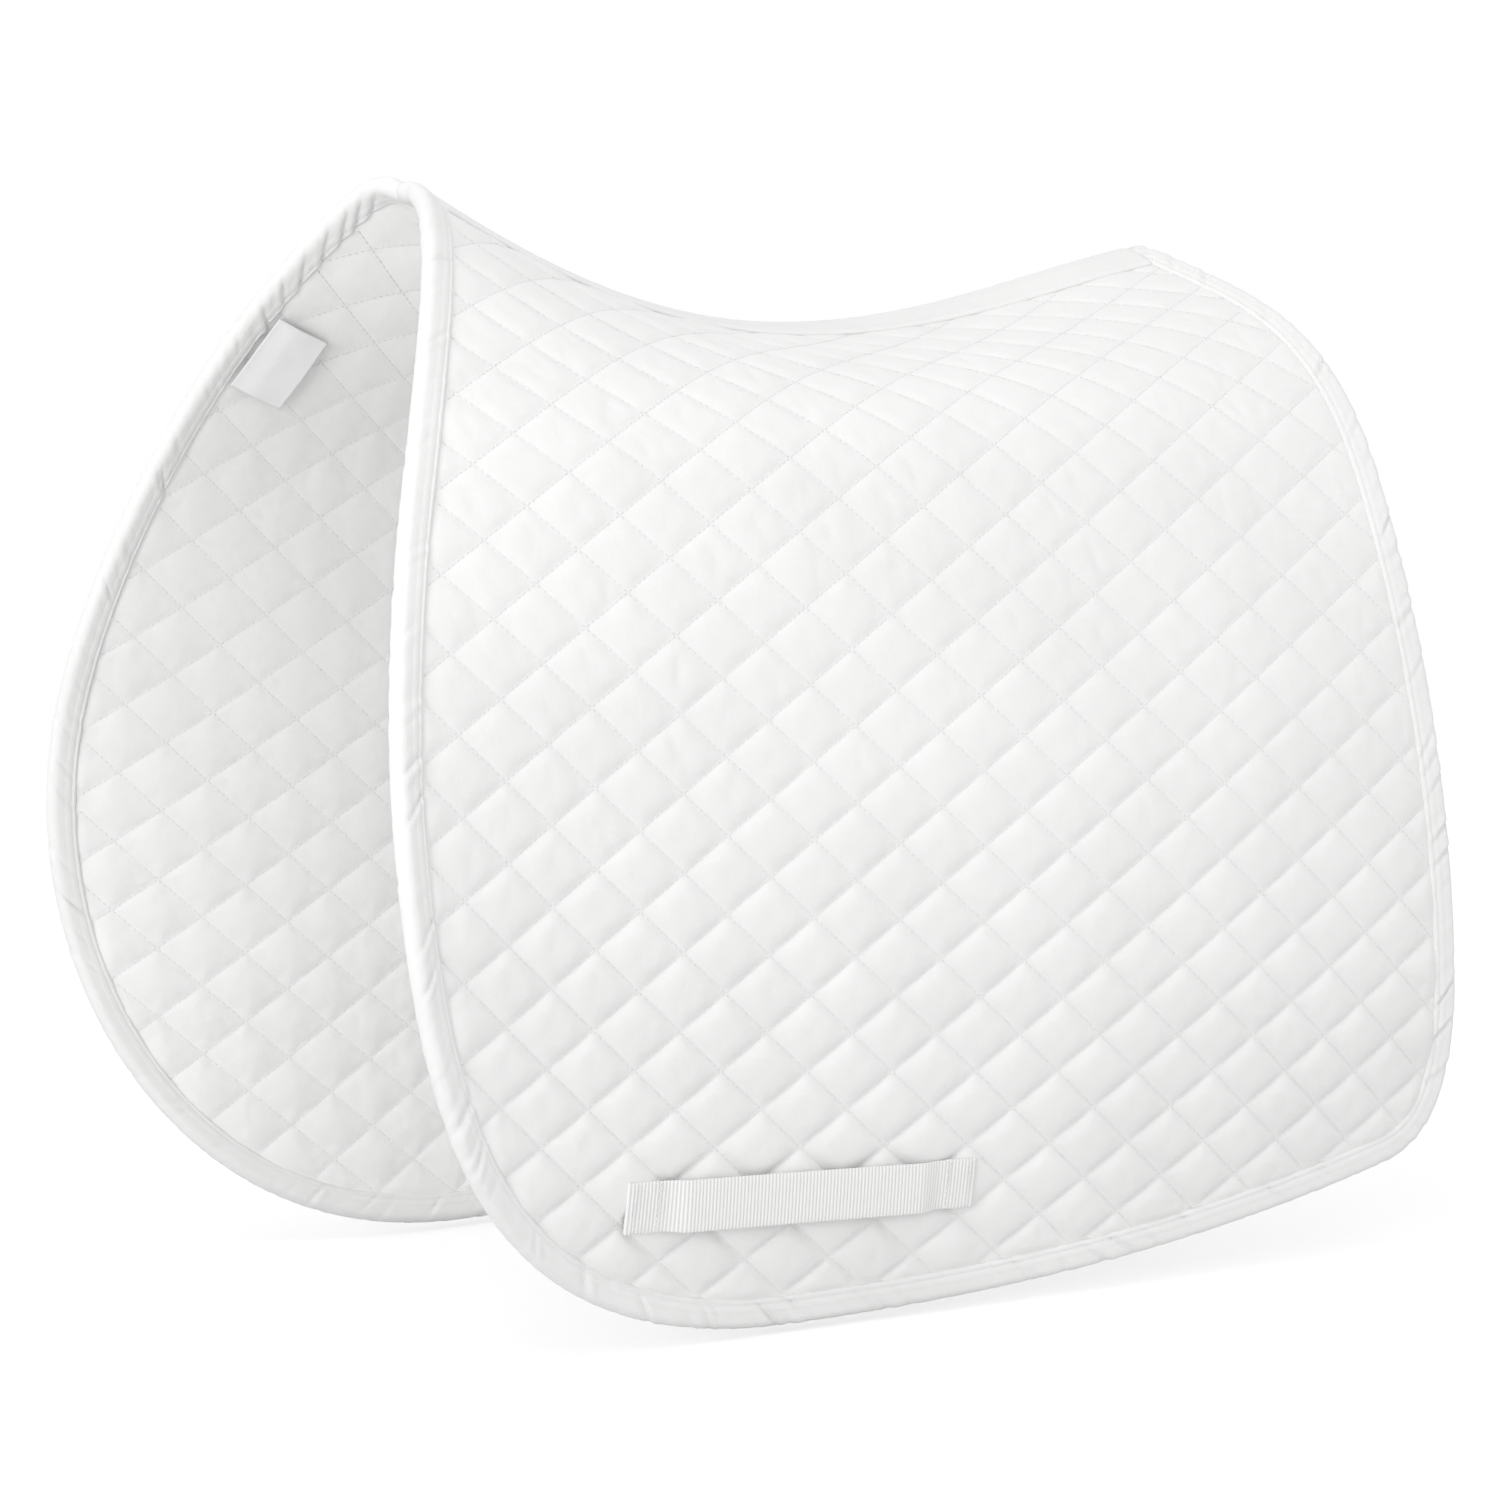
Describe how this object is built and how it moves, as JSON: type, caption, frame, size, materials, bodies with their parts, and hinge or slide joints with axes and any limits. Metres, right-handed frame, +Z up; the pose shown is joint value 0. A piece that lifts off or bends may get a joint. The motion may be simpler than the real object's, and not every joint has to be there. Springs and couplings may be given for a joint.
{
  "type": "saddle pad",
  "caption": "Contoured quilted saddle pad with bound edge, spine tape, girth loops and a care label; the flaps fold at the crown.",
  "frame": {"origin": "on the centre plane under the lowest point of the spine, level with the lowest edge of the flaps", "axes": "+Z up, -X towards the horse's head, +X towards its tail, -Y the near (left) side, +Y the off (right) side"},
  "size_m": [0.6532, 0.4106, 0.5666],
  "materials": {
    "quilted_shell": "matte white brushed cotton, diamond quilted",
    "filling": "matte fibre batting",
    "lining": "matte white cotton lining, quilted through",
    "binding": "white bias-cut cotton binding",
    "webbing": "white ribbed webbing",
    "thread": "white sewing thread, slight sheen",
    "label": "white satin label, blank"
  },
  "bodies": {
    "crown": {"left_crown_outer_shell": "quilted_shell", "left_crown_batting": "filling", "left_crown_lining": "lining", "right_crown_outer_shell": "quilted_shell", "right_crown_batting": "filling", "right_crown_lining": "lining", "left_spine_thread": "thread", "right_spine_thread": "thread", "withers_binding": "binding", "withers_binding_thread": "thread", "cantle_binding": "binding", "cantle_binding_thread": "thread", "spine_tape": "binding", "underside_seam_tape": "binding"},
    "left_flap": {"left_flap_outer_shell": "quilted_shell", "left_flap_batting": "filling", "left_flap_lining": "lining", "left_flap_binding": "binding", "left_flap_binding_thread": "thread", "left_girth_loop": "webbing", "left_loop_front_stitching": "thread", "left_loop_rear_stitching": "thread"},
    "right_flap": {"right_flap_outer_shell": "quilted_shell", "right_flap_batting": "filling", "right_flap_lining": "lining", "right_flap_binding": "binding", "right_flap_binding_thread": "thread", "right_girth_loop": "webbing", "right_loop_front_stitching": "thread", "right_loop_rear_stitching": "thread"},
    "care_label": {"care_label": "label"}
  },
  "joints": [
    {"name": "left_flap_fold", "type": "hinge", "parent": "crown", "child": "left_flap", "pos_m": [0, -0.165, 0.417], "axis": [-0.999, 0.045, 0], "range_deg": [-18, 90]},
    {"name": "right_flap_fold", "type": "hinge", "parent": "crown", "child": "right_flap", "pos_m": [0, 0.165, 0.417], "axis": [0.999, 0.045, 0], "range_deg": [-18, 90]},
    {"name": "label_flip", "type": "hinge", "parent": "crown", "child": "care_label", "pos_m": [-0.24891, 0.10043, 0.48251], "axis": [-0.3563, 0.5586, -0.749], "range_deg": [0, 150]}
  ]
}
